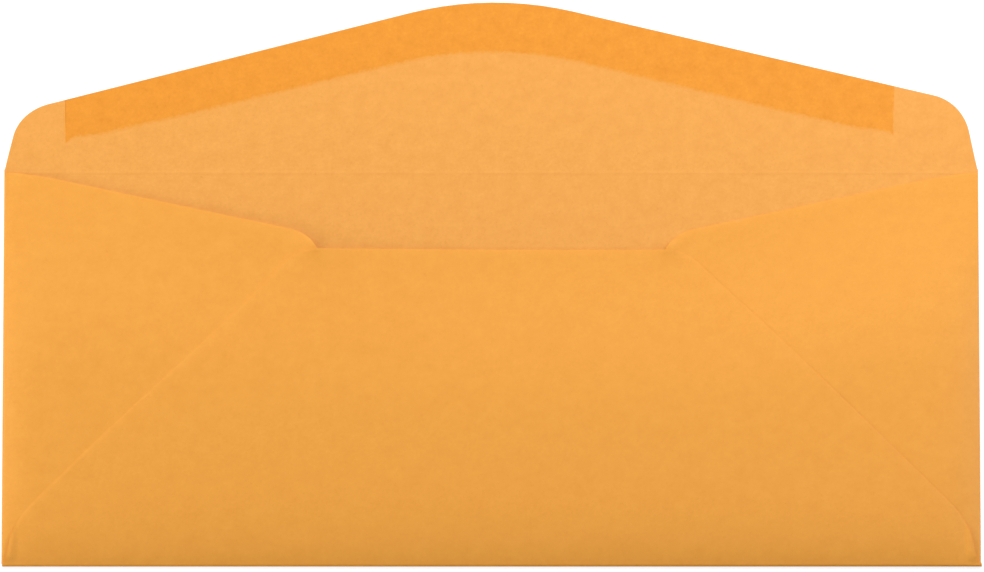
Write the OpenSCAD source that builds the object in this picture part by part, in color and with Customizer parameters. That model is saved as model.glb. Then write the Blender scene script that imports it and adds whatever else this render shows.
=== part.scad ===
// Commercial kraft envelope with diagonal seams, lying on its address side with the seal flap open.
// One die-cut sheet makes the front panel, the seal flap, the two side flaps and the bottom flap.
// The side flaps fold in first, then the bottom flap folds up over them and is glued to them.
// Origin: centre of the front panel's outer face. +X along the long side, +Y to the seal flap, +Z up.

/* [Paper] */
// Thickness of the paper
paper_t = 0.14; // [0.08:0.01:0.25]
// Height of the bead that the score raises along the seal flap's fold
score_h = 0.05; // [0.02:0.01:0.1]
// Width of that bead
score_w = 0.9; // [0.5:0.1:2]

/* [Front panel] */
// Width of the envelope, over the side folds
body_w = 241.3; // [190:0.1:330]
// Height of the envelope, from the bottom fold to the seal flap's score
body_h = 104.8; // [80:0.1:160]
// Space between the front panel and the side flaps
pocket_gap = 0.6; // [0.1:0.05:3]

/* [Seal flap] */
// Depth of the seal flap, from its score to the point where its sloping edges would meet
flap_depth = 48; // [38:0.1:75]
// Radius that rounds that point off
flap_tip_r = 80; // [20:1:140]
// Height above the score where each sloping edge would meet the short side edge
shoulder_h = 17.4; // [10:0.1:25]
// Lean of the short side edges, from square to the score
flap_lean = 12; // [5:0.5:25]
// Radius between a side edge and a sloping edge
shoulder_r = 12; // [4:0.5:16]

/* [Gum] */
// Thickness of the dried gum
gum_t = 0.03; // [0.01:0.01:0.08]
// Depth of the gum band, down from the flap's edge
gum_depth = 12.8; // [6:0.1:18]
// Distance from each side of the envelope to the end of the gum band
gum_stop = 17.85; // [14:0.05:60]
// Offset of the band from the middle of the flap, as the gumming rollers left it
gum_offset = -2.9; // [-4:0.1:4]

/* [Bottom flap] */
// Depth of the throat, from the score down to the bottom flap's top edge
throat_depth = 20.4; // [12:0.1:34]
// Width of the bottom flap's top edge, between its corners before they are rounded
throat_w = 96; // [50:0.5:140]
// Radius at those two corners
throat_corner_r = 12; // [2:0.5:25]
// Height of the point where each diagonal edge starts
foot_h = 11.4; // [6:0.1:20]
// Distance of that point from the side of the envelope
foot_inset = 2.9; // [2:0.1:6]
// Radius there
foot_r = 20; // [2:0.5:30]
// Gap that keeps the bottom fold off the side folds, at each bottom corner
corner_relief = 0.3; // [0.1:0.05:1]

/* [Side flaps] */
// Gap between the seal flap's score and the top of each side fold
score_relief = 0.4; // [0.2:0.1:1]
// Length of the side flap's top edge that stays level, before it is rounded
throat_shoulder = 7.4; // [6:0.1:15]
// Radius of the long curve there
throat_ease_r = 50; // [10:1:60]
// Radius of the side flap's tip, which is also the width that laps under the bottom flap
lap_r = 10; // [8:0.5:12]
// Distance of that radius's centre below the bottom flap's top edge
lap_drop = 4.3; // [2:0.1:8]
// Height of the side flap's lowest edge above the bottom fold
side_clearance = 1.5; // [1:0.1:4]

/* [Seam glue] */
// Thickness of the glue film between a side flap and the bottom flap
glue_t = 0.03; // [0.01:0.01:0.08]
// Width of the glue line
glue_w = 6; // [2:0.1:6.5]
// Distance of the glue line from the bottom flap's edge
glue_inset = 1.5; // [0.5:0.1:2]
// Length of the seam that stays dry at each end
glue_stop = 9; // [2:0.5:20]

/* [Hidden] */

kraft = "#f0a648";
gum = "#f7a03b";
glue = "#e8d9b0";

outline_step = 3;
fold_step = 7.5;
margin = 1;
$fn = 96;

// Heights of the layers, from the front panel's outer face up
side_level = paper_t + pocket_gap;
glue_level = side_level + paper_t;
back_level = glue_level + glue_t;
top_level = back_level + paper_t;

// Each fold is half a roll that just reaches the layer it leads to
side_r = glue_level / 2;
fold_r = top_level / 2;
side_x = body_w / 2 - side_r;
bottom_y = -body_h / 2;
fold_y = bottom_y + fold_r;
score_y = body_h / 2;

// The seal flap's corners, on the right-hand side
flap_apex = [0, score_y + flap_depth];
flap_base = [body_w / 2, score_y];
flap_shoulder = along(flap_base, 90 + flap_lean, shoulder_h / cos(flap_lean));

gum_length = body_w - 2 * gum_stop;

// The bottom flap's corners, on the right-hand side
throat_y = score_y - throat_depth;
fold_end = [side_x - corner_relief, fold_y];
foot = [body_w / 2 - foot_inset, bottom_y + foot_h];
throat_corner = [throat_w / 2, throat_y];
seam_angle = atan2(throat_corner.y - foot.y, throat_corner.x - foot.x);

// The side flap's corners, on the right-hand side. Its tip is an arc whose centre lies on the
// bottom flap's diagonal edge, so its top edge is aimed to touch that arc.
side_top = [side_x, score_y - score_relief];
side_foot = [side_x, bottom_y + side_clearance];
throat_ease = [body_w / 2 - throat_shoulder, side_top.y];
lap_centre = along(throat_corner, seam_angle, -lap_drop / sin(seam_angle));
lap_edge = along(lap_centre, seam_angle + 90, lap_r);
lap_tip = meet(throat_ease, touch_angle(throat_ease, lap_centre, lap_r), lap_edge, seam_angle);
lap_foot = meet(side_foot, 180, lap_edge, seam_angle);

// A point at a distance from p, in a direction
function along(p, angle, distance) = p + distance * [cos(angle), sin(angle)];

// The point where a line through p meets a line through q
function meet(p, p_angle, q, q_angle) =
    along(p, p_angle, cross(q - p, along([0, 0], q_angle, 1)) / sin(q_angle - p_angle));

// The direction from p of the line that passes above a circle and just touches it
function touch_angle(p, centre, r) =
    atan2(centre.y - p.y, centre.x - p.x) - asin(r / norm(centre - p));

function unit(v) = v / norm(v);

// The points of an arc, from one angle to another
function arc(centre, r, first, last, step) =
    let (steps = ceil(abs(last - first) / step))
    [for (i = [0:steps]) along(centre, first + (last - first) * i / steps, r)];

// The arc that rounds corner b, between its neighbours a and c, no wider than the edges allow
function rounded(a, b, c, widest_r) =
    let (
        to_a = unit(a - b),
        to_c = unit(c - b),
        half = acos(to_a * to_c) / 2,
        r = min(widest_r, min(norm(a - b), norm(c - b)) * tan(half)),
        centre = b + unit(to_a + to_c) * r / sin(half),
        start = b + to_a * r / tan(half) - centre,
        end = b + to_c * r / tan(half) - centre,
        first = atan2(start.y, start.x),
        sweep = (atan2(end.y, end.x) - first + 540) % 360 - 180
    )
    arc(centre, r, first, first + sweep, outline_step);

// A closed outline from corners that are each [point, radius], where radius 0 is sharp
function outline(corners) =
    let (count = len(corners))
    [for (i = [0:count - 1])
        let (
            corner = corners[i],
            before = corners[(i + count - 1) % count],
            after = corners[(i + 1) % count]
        )
        each corner[1] > 0 ? rounded(before[0], corner[0], after[0], corner[1]) : [corner[0]]];

// The left-hand corners that match right-hand ones, in the order that closes the outline
function opposite(corners) =
    [for (i = [len(corners) - 1:-1:0]) [[-corners[i][0].x, corners[i][0].y], corners[i][1]]];

// Section of a sheet that lies flat from start to fold_x, rolls round there and comes back
function fold_section(start, fold_x, r) = concat(
    [[start, 0]],
    arc([fold_x, r], r, -90, 90, fold_step),
    [[start, 2 * r], [start, 2 * r - paper_t]],
    arc([fold_x, r], r - paper_t, 90, -90, fold_step),
    [[start, paper_t]]
);

// Front panel and seal flap
module flat_shape() {
    right = [
        [[side_x, fold_y], 0],
        [[side_x, score_y], 0],
        [flap_base, 0],
        [flap_shoulder, shoulder_r]
    ];
    polygon(outline(concat(right, [[flap_apex, flap_tip_r]], opposite(right))));
}

module bottom_flap_shape() {
    right = [
        [[fold_end.x, bottom_y - margin], 0],
        [fold_end, 0],
        [foot, foot_r],
        [throat_corner, throat_corner_r]
    ];
    polygon(outline(concat(right, opposite(right))));
}

module side_flap_shape() {
    polygon(outline([
        [[body_w / 2 + margin, side_foot.y], 0],
        [[body_w / 2 + margin, side_top.y], 0],
        [throat_ease, throat_ease_r],
        [lap_tip, lap_r],
        [lap_foot, 0]
    ]));
}

// A round bar under the score, whose top stands one bead's height above a level
module score_bar(level) {
    bar_r = (score_w * score_w / 4 + score_h * score_h) / (2 * score_h);
    translate([0, score_y, level + score_h - bar_r])
        rotate([0, 90, 0])
            cylinder(h = body_w, r = bar_r, center = true);
}

// The score presses a groove into the outer face, which stands up as a bead on the inner one
module scored_sheet() {
    difference() {
        union() {
            linear_extrude(paper_t)
                flat_shape();
            intersection() {
                score_bar(paper_t);
                translate([-body_w / 2, score_y - score_w, paper_t / 2])
                    cube([body_w, 2 * score_w, paper_t]);
            }
        }
        score_bar(0);
    }
}

// Each flap is the folded sheet inside the flap's outline, with the front panel under it
module side_flap() {
    intersection() {
        rotate([90, 0, 0])
            linear_extrude(body_h, center = true)
                polygon(fold_section(0, side_x, side_r));
        linear_extrude(top_level)
            side_flap_shape();
    }
}

module bottom_flap() {
    intersection() {
        rotate([90, 0, -90])
            linear_extrude(body_w, center = true)
                polygon(fold_section(-score_y, -fold_y, fold_r));
        linear_extrude(top_level)
            bottom_flap_shape();
    }
}

module seam_glue() {
    edge = along(foot, seam_angle + 90, glue_inset);
    length = norm(throat_corner - foot) - 2 * glue_stop;
    translate([0, 0, glue_level])
        linear_extrude(glue_t)
            translate(along(edge, seam_angle, glue_stop))
                rotate(seam_angle)
                    square([length, glue_w]);
}

module envelope() {
    color(kraft) {
        scored_sheet();
        bottom_flap();
        side_flap();
        mirror([1, 0, 0])
            side_flap();
    }
}

// The gum follows the flap's edge and stops square, short of each shoulder
module flap_gum() {
    color(gum)
        translate([0, 0, paper_t])
            linear_extrude(gum_t)
                difference() {
                    intersection() {
                        flat_shape();
                        translate([gum_offset - gum_length / 2, score_y])
                            square([gum_length, flap_depth]);
                    }
                    translate([0, -gum_depth])
                        flat_shape();
                }
}

module right_seam_glue() {
    color(glue)
        seam_glue();
}

module left_seam_glue() {
    color(glue)
        mirror([1, 0, 0])
            seam_glue();
}

envelope();
flap_gum();
left_seam_glue();
right_seam_glue();
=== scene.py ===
# A commercial kraft envelope that lies on its address side with the seal flap open.
# Everything is in metres, in the CAD frame: +X along the long side, +Y to the seal flap, +Z up.
import math

import bmesh
import bpy
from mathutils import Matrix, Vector


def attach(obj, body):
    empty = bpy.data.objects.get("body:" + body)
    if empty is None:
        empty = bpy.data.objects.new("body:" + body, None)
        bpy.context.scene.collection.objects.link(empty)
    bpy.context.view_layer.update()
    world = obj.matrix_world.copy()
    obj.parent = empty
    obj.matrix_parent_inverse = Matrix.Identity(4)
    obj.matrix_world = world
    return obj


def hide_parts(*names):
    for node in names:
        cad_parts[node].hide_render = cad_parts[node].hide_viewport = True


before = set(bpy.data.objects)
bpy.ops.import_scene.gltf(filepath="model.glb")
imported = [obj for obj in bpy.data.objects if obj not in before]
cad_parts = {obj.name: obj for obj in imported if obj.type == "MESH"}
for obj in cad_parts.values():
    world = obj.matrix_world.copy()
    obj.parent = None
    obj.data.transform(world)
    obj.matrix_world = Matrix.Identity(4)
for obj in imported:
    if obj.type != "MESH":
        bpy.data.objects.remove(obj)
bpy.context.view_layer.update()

mm = 0.001


def smoothStep(low, high, value):
    t = min(max((value - low) / (high - low), 0.0), 1.0)
    return t * t * (3 - 2 * t)


def steps(first, last, step):
    count = max(1, round((last - first) / step))
    return [first + (last - first) * i / count for i in range(count + 1)]


def hexColour(code):      # sRGB hex to linear
    channels = [int(code[i:i + 2], 16) / 255 for i in (1, 3, 5)]
    return [c / 12.92 if c <= 0.04045 else ((c + 0.055) / 1.055) ** 2.4 for c in channels] + [1.0]


def addNode(owner, kind, settings=None, links=None):
    node = owner.node_tree.nodes.new(kind)
    for name, value in (settings or {}).items():
        if isinstance(name, int) or name in node.inputs:
            node.inputs[name].default_value = value
        else:
            setattr(node, name, value)
    for name, (source, output) in (links or {}).items():
        owner.node_tree.links.new(source.outputs[output], node.inputs[name])
    return node


def remap(owner, source, fromRange, toRange):
    return addNode(owner, "ShaderNodeMapRange",
                   {"From Min": fromRange[0], "From Max": fromRange[1],
                    "To Min": toRange[0], "To Max": toRange[1]},
                   {"Value": source})


def emptyMaterial(name):
    material = bpy.data.materials.new(name)
    material.use_nodes = True
    material.node_tree.nodes.clear()
    return material


# The long lens stands far off, because the photograph hardly converges.
cameraSet = {
    "lens": 950.0,
    "sensor": 36.0,
    "elevation": 68.42,       # degrees above the table
    "distance": 6.424,
    "aim": (0.0001976, 0.02202, 0.0),
    "clip": (0.1, 60.0),
}


def makeCamera(c):
    data = bpy.data.cameras.new("camera")
    data.lens = c["lens"]
    data.sensor_width = c["sensor"]
    data.clip_start, data.clip_end = c["clip"]
    camera = bpy.data.objects.new("camera", data)
    bpy.context.scene.collection.objects.link(camera)
    tilt = math.radians(c["elevation"])
    back = Vector((0, -math.cos(tilt), math.sin(tilt)))
    camera.location = Vector(c["aim"]) + back * c["distance"]
    camera.rotation_euler = (math.radians(90) - tilt, 0, 0)
    bpy.context.scene.camera = camera


makeCamera(cameraSet)
bpy.context.scene.view_settings.view_transform = "Standard"
print("camera placed")

# Three low softboxes round the envelope: with the world's own light they add up to about one
# on a level sheet.
lightSet = {
    "worldStrength": 0.15,
    "aim": (0.0, 0.0, 0.0),
    "lamps": {                # place, size along its own x and y, watts, tint
        "topSoftbox": ((-0.357, 0.42, 0.25), (1.30, 0.35), 5.10, (1.0, 1.0, 1.0)),
        "rightSoftbox": ((0.45, 0.346, 0.35), (0.50, 0.35), 3.72, (1.0, 1.0, 1.13)),
        "frontSoftbox": ((-0.65, -0.60, 0.25), (1.00, 0.30), 4.00, (1.0, 1.0, 1.0)),
    },
}


def seenDirectly(owner):      # 1 for camera, glossy and transmission rays
    rays = addNode(owner, "ShaderNodeLightPath")
    straight = addNode(owner, "ShaderNodeMath", {"operation": "MAXIMUM"},
                       {0: (rays, "Is Camera Ray"), 1: (rays, "Is Transmission Ray")})
    return addNode(owner, "ShaderNodeMath", {"operation": "MAXIMUM"},
                   {0: (straight, "Value"), 1: (rays, "Is Glossy Ray")})


def makeLights(c):
    for name, (place, size, watts, tint) in c["lamps"].items():
        data = bpy.data.lights.new(name, "AREA")
        data.shape = "RECTANGLE"
        data.size, data.size_y = size
        data.energy = watts
        data.color = tint
        lamp = bpy.data.objects.new(name, data)
        lamp.location = place
        lamp.rotation_mode = "QUATERNION"
        lamp.rotation_quaternion = (Vector(c["aim"]) - Vector(place)).to_track_quat("-Z", "Y")
        lamp.visible_camera = False
        bpy.context.scene.collection.objects.link(lamp)

    world = bpy.data.worlds.new("studio")
    world.use_nodes = True
    world.node_tree.nodes.clear()
    bpy.context.scene.world = world
    direct = seenDirectly(world)
    lit = addNode(world, "ShaderNodeBackground",
                  {"Color": (1, 1, 1, 1), "Strength": c["worldStrength"]})
    seen = addNode(world, "ShaderNodeBackground", {"Color": (1, 1, 1, 1), "Strength": 1.0})
    mix = addNode(world, "ShaderNodeMixShader", {},
                  {"Fac": (direct, "Value"), 1: (lit, 0), 2: (seen, 0)})
    addNode(world, "ShaderNodeOutputWorld", {}, {"Surface": (mix, "Shader")})


floorSet = {
    "size": 6.0,
    "height": -0.05 * mm,
    "paint": 0.5,             # takes the light and keeps the envelope's shadow
    "glow": (0.75, 1.0),      # added where the table is seen, so that it reads as white
    "glowReach": (0.25, 0.70),    # up to here the first value holds, and from here the second
}


def makeFloor(c):
    bpy.ops.mesh.primitive_plane_add(size=c["size"], location=(0, 0, c["height"]))
    floor = bpy.context.active_object
    floor.name = "studioFloor"
    bpy.ops.object.transform_apply(location=True, rotation=True, scale=True)
    table = emptyMaterial("matt white table")
    place = addNode(table, "ShaderNodeTexCoord")
    out = addNode(table, "ShaderNodeVectorMath", {"operation": "LENGTH"}, {0: (place, "Object")})
    rise = remap(table, (out, "Value"), c["glowReach"], c["glow"])
    direct = seenDirectly(table)
    glow = addNode(table, "ShaderNodeMath", {"operation": "MULTIPLY"},
                   {0: (rise, "Result"), 1: (direct, "Value")})
    paint = addNode(table, "ShaderNodeBsdfDiffuse", {"Color": [c["paint"]] * 3 + [1]})
    shine = addNode(table, "ShaderNodeEmission", {"Color": (1, 1, 1, 1)},
                    {"Strength": (glow, "Value")})
    both = addNode(table, "ShaderNodeAddShader", {}, {0: (paint, 0), 1: (shine, 0)})
    addNode(table, "ShaderNodeOutputMaterial", {}, {"Surface": (both, "Shader")})
    floor.data.materials.append(table)


makeLights(lightSet)
makeFloor(floorSet)
print("light and table placed")

# One golden kraft stock, seen glazed outside and rough inside. Its pulp dries in flocs about
# 1 mm across that gather in clouds of 3 to 4 mm, and single fibres lie on it as fine curls.
paperSet = {
    "cloud": (3.4, 2.0, 0.5),     # noises: size in mm, detail, roughness
    "flock": (0.9, 3.0, 0.6),
    "grain": (0.16, 1.0, 0.5),
    "grainHeight": 0.02 * mm,
    "pulpRange": (0.5, 1.5),      # cloud and flock added up, from dark to pale pulp
    "darkPulp": (0.93, 0.89, 0.82),   # shares of the stock's own colour
    "palePulp": (1.05, 1.10, 1.20),
    "darkFibre": (0.82, 0.70, 0.55),
    "paleFibre": (1.05, 1.18, 1.70),
    "darkShift": 11.0,        # where in their noise the dark and the pale fibres are taken from
    "paleShift": 37.0,
    "curlSize": 1.4,          # how far apart the fibres lie
    "curlDetail": 1.5,
    "curlBend": 0.8,
    "curlWidth": 0.016,       # share of the noise round its middle that reads as one fibre
    "curlBreaks": (0.48, 0.58),   # values of a finer noise at which they start and are whole
    "ior": 1.45,              # cellulose and starch
    "outside": {"colour": "#f0a340", "mottle": 0.6, "fibres": 0.25, "tooth": 0.25,
                "roughness": 0.54, "specular": 0.22},
    "inside": {"colour": "#eda34a", "mottle": 0.9, "fibres": 0.35, "tooth": 0.45,
               "roughness": 0.57, "specular": 0.22},
    "cut": {"colour": "#f3b566", "mottle": 1.2, "fibres": 0.60, "tooth": 0.60,
            "roughness": 0.60, "specular": 0.20},
    "gum": {"colour": "#ea952d", "mottle": 1.2, "fibres": 0.25, "tooth": 0.20,
            "roughness": 0.49, "specular": 0.24, "under": "#eda34a",
            "fray": (0.8, 2.0),       # noise: size in mm, detail
            "frayRange": (0.3, 0.7),  # its values where the coat is thinnest and thickest
            "frayDepth": 0.25,        # how much that takes off the coat or adds to it
            "bareCoat": (0.10, 0.85),     # the paper is bare below the first and hidden at the second
            "thickCoat": (1.0, 2.0)},     # from the first to the second the gum gets deeper
    "paste": {"colour": "#e8d9b0", "mottle": 1.0, "fibres": 0.10, "tooth": 0.30,
              "roughness": 0.45, "specular": 0.30},
}


def shaded(colour, factors):
    return [min(c * f, 1.0) for c, f in zip(colour, factors)] + [1.0]


def noise(material, place, size, detail, roughness=0.5, distortion=0.0):
    return addNode(material, "ShaderNodeTexNoise",
                   {"Scale": 1 / size, "Detail": detail, "Roughness": roughness,
                    "Distortion": distortion},
                   {"Vector": (place, "Vector")})


def overlay(material, share, below, colour):
    return addNode(material, "ShaderNodeMix", {"data_type": "RGBA", 7: colour},
                   {0: share, 6: (below, 2)})


def curledFibres(material, inMm, c, shift):
    # A fibre lies where a slow noise crosses its middle value, and a finer noise breaks it up.
    moved = addNode(material, "ShaderNodeMapping", {"Location": (shift, 2 * shift, 0)},
                    {"Vector": (inMm, "Vector")})
    slow = noise(material, moved, c["curlSize"], c["curlDetail"], distortion=c["curlBend"])
    middle = addNode(material, "ShaderNodeMath", {"operation": "SUBTRACT", 1: 0.5},
                     {0: (slow, "Fac")})
    away = addNode(material, "ShaderNodeMath", {"operation": "ABSOLUTE"}, {0: (middle, "Value")})
    line = remap(material, (away, "Value"), (0.0, c["curlWidth"]), (1.0, 0.0))
    patch = noise(material, moved, c["curlSize"] / 2, 0.0)
    broken = remap(material, (patch, "Fac"), c["curlBreaks"], (0.0, 1.0))
    return addNode(material, "ShaderNodeMath", {"operation": "MULTIPLY"},
                   {0: (line, "Result"), 1: (broken, "Result")})


def thinnedGum(material, inMm, c, finish, below):
    # The film's own "coat" runs from 0 at its lower border to 1, and past 1 where it is thickest.
    coat = addNode(material, "ShaderNodeAttribute",
                   {"attribute_type": "GEOMETRY", "attribute_name": "coat"})
    fray = noise(material, inMm, *finish["fray"])
    depth = finish["frayDepth"]
    uneven = remap(material, (fray, "Fac"), finish["frayRange"], (-depth, depth))
    cover = addNode(material, "ShaderNodeMath", {"operation": "ADD"},
                    {0: (coat, "Fac"), 1: (uneven, "Result")})
    bare = remap(material, (cover, "Value"), finish["bareCoat"], (1.0, 0.0))
    thin = overlay(material, (bare, "Result"), below, hexColour(finish["under"]))
    thick = remap(material, (coat, "Fac"), finish["thickCoat"], (0.0, 1.0))
    deep = shaded(hexColour(finish["colour"])[:3], c["darkFibre"])
    return overlay(material, (thick, "Result"), thin, deep)


def kraftPaper(name, c, finish):
    material = emptyMaterial(name)
    place = addNode(material, "ShaderNodeTexCoord")
    inMm = addNode(material, "ShaderNodeMapping", {"Scale": (1 / mm, 1 / mm, 1 / mm)},
                   {"Vector": (place, "Object")})
    base = hexColour(finish["colour"])[:3]
    cloud = noise(material, inMm, *c["cloud"])
    flock = noise(material, inMm, *c["flock"])
    pulp = addNode(material, "ShaderNodeMath", {"operation": "ADD"},
                   {0: (cloud, "Fac"), 1: (flock, "Fac")})
    half = finish["mottle"] / 2
    spread = remap(material, (pulp, "Value"), c["pulpRange"], (0.5 - half, 0.5 + half))
    colour = addNode(material, "ShaderNodeMix",
                     {"data_type": "RGBA", 6: shaded(base, c["darkPulp"]),
                      7: shaded(base, c["palePulp"])},
                     {0: (spread, "Result")})
    curls = {kind: curledFibres(material, inMm, c, c[kind + "Shift"]) for kind in ("dark", "pale")}
    for kind, lines in curls.items():
        share = addNode(material, "ShaderNodeMath",
                        {"operation": "MULTIPLY", 1: finish["fibres"]}, {0: (lines, "Value")})
        colour = overlay(material, (share, "Value"), colour, shaded(base, c[kind + "Fibre"]))
    if "under" in finish:
        colour = thinnedGum(material, inMm, c, finish, colour)
    grain = noise(material, inMm, *c["grain"])
    relief = addNode(material, "ShaderNodeMath", {"operation": "ADD"},
                     {0: (grain, "Fac"), 1: (curls["pale"], "Value")})
    bump = addNode(material, "ShaderNodeBump",
                   {"Strength": finish["tooth"], "Distance": c["grainHeight"]},
                   {"Height": (relief, "Value")})
    shader = addNode(material, "ShaderNodeBsdfPrincipled",
                     {"Roughness": finish["roughness"], "IOR": c["ior"],
                      "Specular IOR Level": finish["specular"]},
                     {"Base Color": (colour, 2), "Normal": (bump, "Normal")})
    addNode(material, "ShaderNodeOutputMaterial", {}, {"Surface": (shader, "BSDF")})
    return material


# The glazed side was pressed on a hot drum: smooth, with a low sheen.
outerPaper = kraftPaper("machine-glazed kraft, outside", paperSet, paperSet["outside"])
# The other side keeps the felt's mark: cloudier, more fibres, a little duller.
innerPaper = kraftPaper("unglazed kraft, inside", paperSet, paperSet["inside"])
# A steel rule chopped through the fibres, so the edge is paler and rougher.
cutEdge = kraftPaper("die-cut kraft edge", paperSet, paperSet["cut"])
# Dextrin rolled on wet: it soaks in, deepens the orange and dries to a faint gloss.
driedGum = kraftPaper("dried remoistening gum", paperSet, paperSet["gum"])
# The same kind of paste between the seams, pale and out of sight.
seamPaste = kraftPaper("dried dextrin seam paste", paperSet, paperSet["paste"])
print("papers mixed")

meshSet = {
    "weld": 0.001 * mm,       # vertices closer than this become one
    "flat": 0.5,              # degrees between faces that become one
    "level": 0.9999,          # a face is level where its normal stands higher than this
    "upright": 0.1,           # and upright where it stands lower, and a fold's facets are neither
    "smooth": 30,             # degrees: a sharper edge stays sharp
}


def pick(piece):
    bpy.ops.object.select_all(action="DESELECT")
    bpy.context.view_layer.objects.active = piece
    piece.select_set(True)


def editAll(piece):
    pick(piece)
    bpy.ops.object.mode_set(mode="EDIT")
    bpy.ops.mesh.select_all(action="SELECT")


def copyNode(node, name):
    piece = bpy.data.objects.new(name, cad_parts[node].data.copy())
    bpy.context.scene.collection.objects.link(piece)
    editAll(piece)
    bpy.ops.mesh.remove_doubles(threshold=meshSet["weld"])
    bpy.ops.mesh.dissolve_limited(angle_limit=math.radians(meshSet["flat"]))
    bpy.ops.object.mode_set(mode="OBJECT")
    bpy.ops.mesh.customdata_custom_splitnormals_clear()
    piece.data.materials.clear()
    return piece


def cutInto(piece, columns, rows):
    editAll(piece)
    for x in columns:
        bpy.ops.mesh.select_all(action="SELECT")
        bpy.ops.mesh.bisect(plane_co=(x * mm, 0, 0), plane_no=(1, 0, 0))
    for y in rows:
        bpy.ops.mesh.select_all(action="SELECT")
        bpy.ops.mesh.bisect(plane_co=(0, y * mm, 0), plane_no=(0, 1, 0))
    bpy.ops.object.mode_set(mode="OBJECT")


def insetTop(piece, lowest, width):
    # Level faces that look up and lie above a height get a rim. The piece stays in edit mode.
    editAll(piece)
    mesh = bmesh.from_edit_mesh(piece.data)
    for face in mesh.faces:
        face.select_set(face.normal.z > meshSet["level"] and face.calc_center_median().z > lowest)
    bmesh.update_edit_mesh(piece.data)
    bpy.ops.mesh.inset(thickness=width * mm, depth=0)


# The CAD has the sheet folded dead flat. Pressed paper springs back between its folds, so the
# back of the pocket rises over the first millimetres from each fold, up to 1.4 mm above the
# CAD's level, and stays low at the mouth.
sheetSet = {
    "halfWidth": 120.65,      # mm, as the rest here
    "bottom": -52.4,
    "score": 52.4,
    "paper": 0.14,            # inner face of the front panel
    "pocket": 0.60,           # the CAD's level space between front panel and side flaps
    "bottomFlap": 0.90,       # everything above this is the bottom flap
    "pinch": 0.36,            # how much of that space the pressed folds close
    "swell": 1.80,            # how far the middle of the pocket springs back up
    "leftFoldReach": 3.2,     # distances over which it does so, from each fold
    "rightFoldReach": 4.6,
    "bottomFoldReach": 7.0,
    "backShare": 0.1,         # what lies lower in the pocket's space belongs to the front panel
    "backEnd": 0.2,           # and the back ends this far below the score
    "mouth": (0, 48),         # between these heights the swell dies away to the mouth
    "throatShift": 14,        # and this much lower where the throat is cut deepest
    "throatReach": (48, 110),
    "mouthHold": 0.85,        # share of the swell that is lost there
    "notchHold": 0.66,        # less by the left notch, where the flaps' edges stand open
    "rightHold": 1.10,        # and more than all on the right, where they lie on the front panel
    "notchReach": (-95, -50),
    "rightReach": (-45, 5),
    "notches": ((-44.0, 32.5, 0.50, 3.3), (43.8, 32.6, 0.42, 2.4)),  # place, lift and spread
    "mouthDrop": 0.50,        # the throat is cut this much lower than in the CAD
    "mouthDropReach": (8, 30),
    "mouthDropEnd": (112, 119.6),
    "rim": 0.8,               # the die presses the cut edge down over this width
    "rimDrop": 0.055,
    "leftSeamDrop": 0.108,    # the bottom flap's left edge took more of it
    "leftSeam": (-50, 26),    # left of the first and below the second
    "seamSwing": 1.00,        # that edge lies this much further in, the more the higher up
    "seamSwingWay": (0.67, -0.74),
    "seamSwingReach": (-24, 14),  # it grows between these heights
    "seamSwingEnd": (16, 29),     # and dies away between these
    "seamSwingSide": (-45, -20),  # and from here to here, towards the middle
    "flapSkew": 0.0107,       # the die cut the seal flap's edge this much out of true
    "skewLine": (87.6, 0.2617),   # height and fall of the line from which it grows
    "skewReach": 12.8,        # up to the edge
    "beadKept": 0.37,         # height left of the CAD's bead on the flap's score
    "beadLayer": (-0.01, 0.08),   # it lies between these heights over the inner face
    "beadDrop": 0.35,         # the score's line lies this much lower
    "beadReach": 1.6,
    "beadSides": 119,
    "footLift": 0.36,         # the glue stops short of the bottom flap's feet, so they curl up
    "footInset": (116.6, 118.4),  # from here out to here
    "footTop": (-36, -41),
    "footEnd": (-52.2, -49.5),
    "rollEnd": 119.91,        # where the CAD's bottom fold stops
    "rollTop": -51.5,         # everything below this is that fold
    "cornerStart": 119.0,     # from here on it is drawn out
    "cornerEnd": (120.50, 120.85),    # to the left and right corner
    "sideFoot": (-49.5, -50.9),   # the side folds and flaps are drawn down to it from here
    "sideFootReach": 0.70,
    "sideFlap": (118.5, 0.2),     # that is what lies farther out than this and higher than this
    "sideOuter": 120.3,           # and all that lies farther out than this
    "sideFold": 0.44,         # how far the CAD's side and bottom folds reach in
    "bottomFold": 0.525,
    "foldKept": 0.45,         # share of that which is left once they are pressed
    "foldLine": -51.05,       # the folding plate's mark over the bottom fold
    "foldLineDepth": 0.003,
    "foldLineWidth": 0.30,
    "rollPaint": (0.5, 0.55),     # the outer paper covers the side and bottom folds this far in
    "steep": 0.5,             # a cut edge's normal stands lower than this
    "insideHeights": (0.3, 0.2),  # inner faces: below the first on the front, else over the second
}

# Where the sheet is cut across, so that it can bend: closer together near its folds.
sheetColumns = ([-120.15, -120.0] + steps(-119.7, -114.3, 0.6) + steps(-112.7, -105.2, 1.5)
                + steps(-102, 102, 4.0)
                + steps(105.2, 112.7, 1.5) + steps(114.3, 119.7, 0.6) + [120.0, 120.15])
sheetRows = (steps(-51.8, -50.2, 0.2) + steps(-49.4, -36, 1.2) + steps(-33, 50, 3.5)
             + [51.2, 51.7, 52.1, 52.7, 53.1, 53.6, 55, 58, 64, 72, 80, 88])


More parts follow.
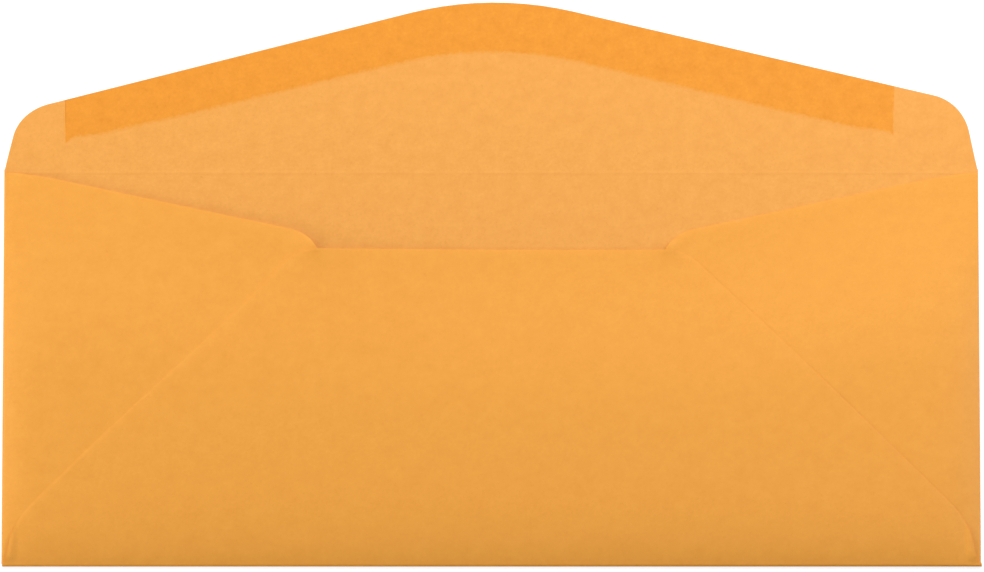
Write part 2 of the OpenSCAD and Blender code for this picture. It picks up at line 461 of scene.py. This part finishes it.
def liftAt(x, y, c):
    left = max(x + c["halfWidth"], 0.0)
    right = max(c["halfWidth"] - x, 0.0)
    low = max(y - c["bottom"], 0.0)
    swell = c["swell"]
    for distance, reach in ((left, c["leftFoldReach"]), (right, c["rightFoldReach"]),
                            (low, c["bottomFoldReach"])):
        swell *= 1 - math.exp(-distance / reach)
    hold = c["mouthHold"]
    hold += (c["notchHold"] - c["mouthHold"]) * smoothStep(*c["notchReach"], x)
    hold += (c["rightHold"] - c["notchHold"]) * smoothStep(*c["rightReach"], x)
    shift = c["throatShift"] * (1 - smoothStep(*c["throatReach"], abs(x)))
    lift = swell * (1 - hold * smoothStep(*c["mouth"], y + shift)) - c["pinch"]
    for cornerX, cornerY, height, spread in c["notches"]:
        lift += height * math.exp(-((x - cornerX) ** 2 + (y - cornerY) ** 2) / spread ** 2)
    return lift - c["foldLineDepth"] * math.exp(-((y - c["foldLine"]) / c["foldLineWidth"]) ** 2)


def pressRims(piece, c):
    # The top faces of the three flaps get a narrow rim, whose cut side is then pressed down.
    lowest = (c["paper"] + c["pocket"]) * mm
    level, upright = meshSet["level"], meshSet["upright"]
    insetTop(piece, lowest, c["rim"])
    mesh = bmesh.from_edit_mesh(piece.data)
    for v in mesh.verts:
        slopes = [face.normal.z for face in v.link_faces]
        onFold = any(upright < abs(slope) < level for slope in slopes)
        onCut = min(abs(slope) for slope in slopes) < upright
        onTop = max(slopes) > level and v.co.z > lowest
        if onTop and onCut and not onFold:
            x, y, z = (value / mm for value in v.co)
            onLeftSeam = z > c["bottomFlap"] and x < c["leftSeam"][0] and y < c["leftSeam"][1]
            v.co.z -= (c["leftSeamDrop"] if onLeftSeam else c["rimDrop"]) * mm
    bmesh.update_edit_mesh(piece.data)
    bpy.ops.object.mode_set(mode="OBJECT")


def flattenBead(piece, c):
    lowest, highest = c["beadLayer"]
    for v in piece.data.vertices:
        x, y, z = (value / mm for value in v.co)
        away = abs(y - c["score"])
        above = z - c["paper"]
        if away < c["beadReach"] and lowest < above < highest:
            v.co.z = (c["paper"] + above * c["beadKept"]) * mm
            if abs(x) < c["beadSides"]:
                v.co.y -= c["beadDrop"] * (1 - away / c["beadReach"]) * mm
    piece.data.update()


def pressFolds(piece, c):
    # The CAD's folds are half circles. The folding rollers press them sharper than that.
    side, low = c["halfWidth"] - c["sideFold"], c["bottom"] + c["bottomFold"]
    for v in piece.data.vertices:
        x, y = v.co.x / mm, v.co.y / mm
        if abs(x) > side and y < c["score"]:
            v.co.x += math.copysign((c["halfWidth"] - abs(x)) * (1 - c["foldKept"]), x) * mm
        if y < low:
            v.co.y -= (y - c["bottom"]) * (1 - c["foldKept"]) * mm
    piece.data.update()


def closeCorners(piece, c):
    # The CAD relieves both bottom corners. Here the folds run on until they meet.
    sideStart, panelTop = c["sideFlap"]
    for v in piece.data.vertices:
        x, y, z = (value / mm for value in v.co)
        end = c["cornerEnd"][1 if x > 0 else 0]
        past = (abs(x) - c["cornerStart"]) / (c["rollEnd"] - c["cornerStart"])
        onSide = abs(x) > sideStart and panelTop < z < c["bottomFlap"]
        if y < c["rollTop"]:
            if past > 0:
                out = c["cornerStart"] + (end - c["cornerStart"]) * min(past, 1.0)
                v.co.x = math.copysign(out, x) * mm
        elif onSide or abs(x) > c["sideOuter"]:
            v.co.y -= c["sideFootReach"] * smoothStep(*c["sideFoot"], y) * mm
    piece.data.update()


def swingLeftSeam(piece, c):
    # The photograph's left seam leans in more than the right one.
    wayX, wayY = c["seamSwingWay"]
    for v in piece.data.vertices:
        x, y, z = (value / mm for value in v.co)
        if z > c["bottomFlap"] and x < 0:
            swing = c["seamSwing"] * smoothStep(*c["seamSwingReach"], y)
            swing *= 1 - smoothStep(*c["seamSwingEnd"], y)
            swing *= 1 - smoothStep(*c["seamSwingSide"], x)
            v.co.x += wayX * swing * mm
            v.co.y += wayY * swing * mm
    piece.data.update()


def skewFlap(piece, c):
    # The skew grows from a line below the gum to the edge. Only the seal flap reaches that high.
    height, fall = c["skewLine"]
    for v in piece.data.vertices:
        x, y = v.co.x / mm, v.co.y / mm
        share = min(max((y - height + fall * abs(x)) / c["skewReach"], 0.0), 1.0)
        v.co.y += c["flapSkew"] * x * share * mm
    piece.data.update()


def liftBack(piece, c):
    for v in piece.data.vertices:
        x, y, z = (value / mm for value in v.co)
        share = min(max((z - c["paper"]) / c["pocket"], 0.0), 1.0)
        if share > c["backShare"] and y < c["score"] - c["backEnd"]:
            v.co.z += liftAt(x, y, c) * share * mm
            drop = c["mouthDrop"] * smoothStep(*c["mouthDropReach"], y)
            v.co.y -= drop * (1 - smoothStep(*c["mouthDropEnd"], abs(x))) * share * mm
        if z > c["bottomFlap"]:
            curl = smoothStep(*c["footInset"], abs(x)) * smoothStep(*c["footTop"], y)
            v.co.z += c["footLift"] * curl * smoothStep(*c["footEnd"], y) * mm
    piece.data.update()


def smoothFolds(piece):
    pick(piece)
    bpy.ops.object.shade_smooth_by_angle(angle=math.radians(meshSet["smooth"]))


def paintSheet(piece, c):
    for material in (outerPaper, innerPaper, cutEdge):
        piece.data.materials.append(material)
    outer, inner, cut = range(3)
    sideRoll, bottomRoll = c["rollPaint"]
    frontTop, backUnder = c["insideHeights"]
    for face in piece.data.polygons:
        x, y, z = (value / mm for value in face.center)
        up = face.normal.z
        inRoll = abs(x) > c["halfWidth"] - sideRoll or y < c["bottom"] + bottomRoll
        if abs(up) < c["steep"] and not inRoll:
            face.material_index = cut
        elif (up > c["steep"] and z < frontTop) or (up < -c["steep"] and z > backUnder):
            face.material_index = inner
        else:
            face.material_index = outer


sheet = copyNode("envelope", "foldedSheet")
pressRims(sheet, sheetSet)
cutInto(sheet, sheetColumns, sheetRows)
flattenBead(sheet, sheetSet)
pressFolds(sheet, sheetSet)
closeCorners(sheet, sheetSet)
swingLeftSeam(sheet, sheetSet)
skewFlap(sheet, sheetSet)
liftBack(sheet, sheetSet)
smoothFolds(sheet)
paintSheet(sheet, sheetSet)
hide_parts("envelope")
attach(sheet, "root")
print("sheet:", len(sheet.data.polygons), "faces")

# The gum was rolled on as a band. Its lower border is thin and frayed, and it climbs at both ends.
gumSet = {
    "ends": (-105.7, 99.9),   # mm, as the rest here
    "middle": (94.0, 0.2617),     # height and fall of the line halfway between its borders
    "film": 0.15,             # vertices below this are the film's underside
    "thinEdge": 0.142,        # height at which it runs out on the flap
    "fade": 1.4,              # width over which the lower border thins out
    "cuts": (0.4, 0.8, 1.2, 1.6, 2.2, 3, 4, 5.5, 7, 9, 12, 15, 19, 24, 30),   # from each end
    "middleCuts": (-72, 66, 6),   # first, last and step
    "reach": 0.7,             # how far the thin border runs on past the CAD's line
    "sag": 0.35,              # and further in the middle
    "sagReach": (0, 30),
    "longRise": 0.35,         # it climbs slowly, then faster, towards its ends
    "longRiseReach": (12, 30),
    "shortRise": 0.95,
    "shortRiseReach": (1.5, 10),
    "tail": 0.60,             # the roller left a small tail at the left end
    "tailReach": (1.0, 2.4),
    "bead": 1.9,              # and a thicker line along it, this wide
    "beadWidth": 0.2,
}


def spotOf(v):            # its place on the flap, to a micrometre
    return round(v.co.x, 6), round(v.co.y, 6)


def rollGum(film, c):
    left, right = c["ends"]
    height, fall = c["middle"]
    top = c["film"] * mm
    outline = {spotOf(v) for v in film.data.vertices if v.co.z < top}
    coat = film.data.attributes.new("coat", "FLOAT", "POINT")
    for v in film.data.vertices:
        x, y = v.co.x / mm, v.co.y / mm
        low = y < height - fall * abs(x)
        onBorder = low and spotOf(v) in outline
        thickest = c["bead"] if x - left < c["beadWidth"] else 1.0
        coat.data[v.index].value = 0.0 if onBorder else thickest
        if onBorder and v.co.z > top:
            v.co.z = c["thinEdge"] * mm
        if low:
            fromEnd = min(x - left, right - x)
            shift = c["reach"] + c["sag"] * (1 - smoothStep(*c["sagReach"], abs(x)))
            shift -= c["longRise"] * (1 - smoothStep(*c["longRiseReach"], fromEnd))
            shift -= c["shortRise"] * (1 - smoothStep(*c["shortRiseReach"], fromEnd))
            shift += c["tail"] * (1 - smoothStep(*c["tailReach"], x - left))
            v.co.y -= shift * mm
    film.data.update()


gumFilm = copyNode("flap_gum", "gumFilm")
insetTop(gumFilm, gumSet["film"] * mm, gumSet["fade"])
bpy.ops.object.mode_set(mode="OBJECT")
leftEnd, rightEnd = gumSet["ends"]
cutInto(gumFilm, [leftEnd + cut for cut in gumSet["cuts"]] + steps(*gumSet["middleCuts"])
        + [rightEnd - cut for cut in gumSet["cuts"]], [])
rollGum(gumFilm, gumSet)
skewFlap(gumFilm, sheetSet)
gumFilm.data.materials.append(driedGum)
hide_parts("flap_gum")
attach(gumFilm, "root")
print("gum:", len(gumFilm.data.polygons), "faces")

for side in ("left", "right"):
    paste = copyNode(side + "_seam_glue", side + "SeamPaste")
    cutInto(paste, sheetColumns, sheetRows)
    liftBack(paste, sheetSet)
    paste.data.materials.append(seamPaste)
    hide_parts(side + "_seam_glue")
    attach(paste, "root")
print("pieces made")
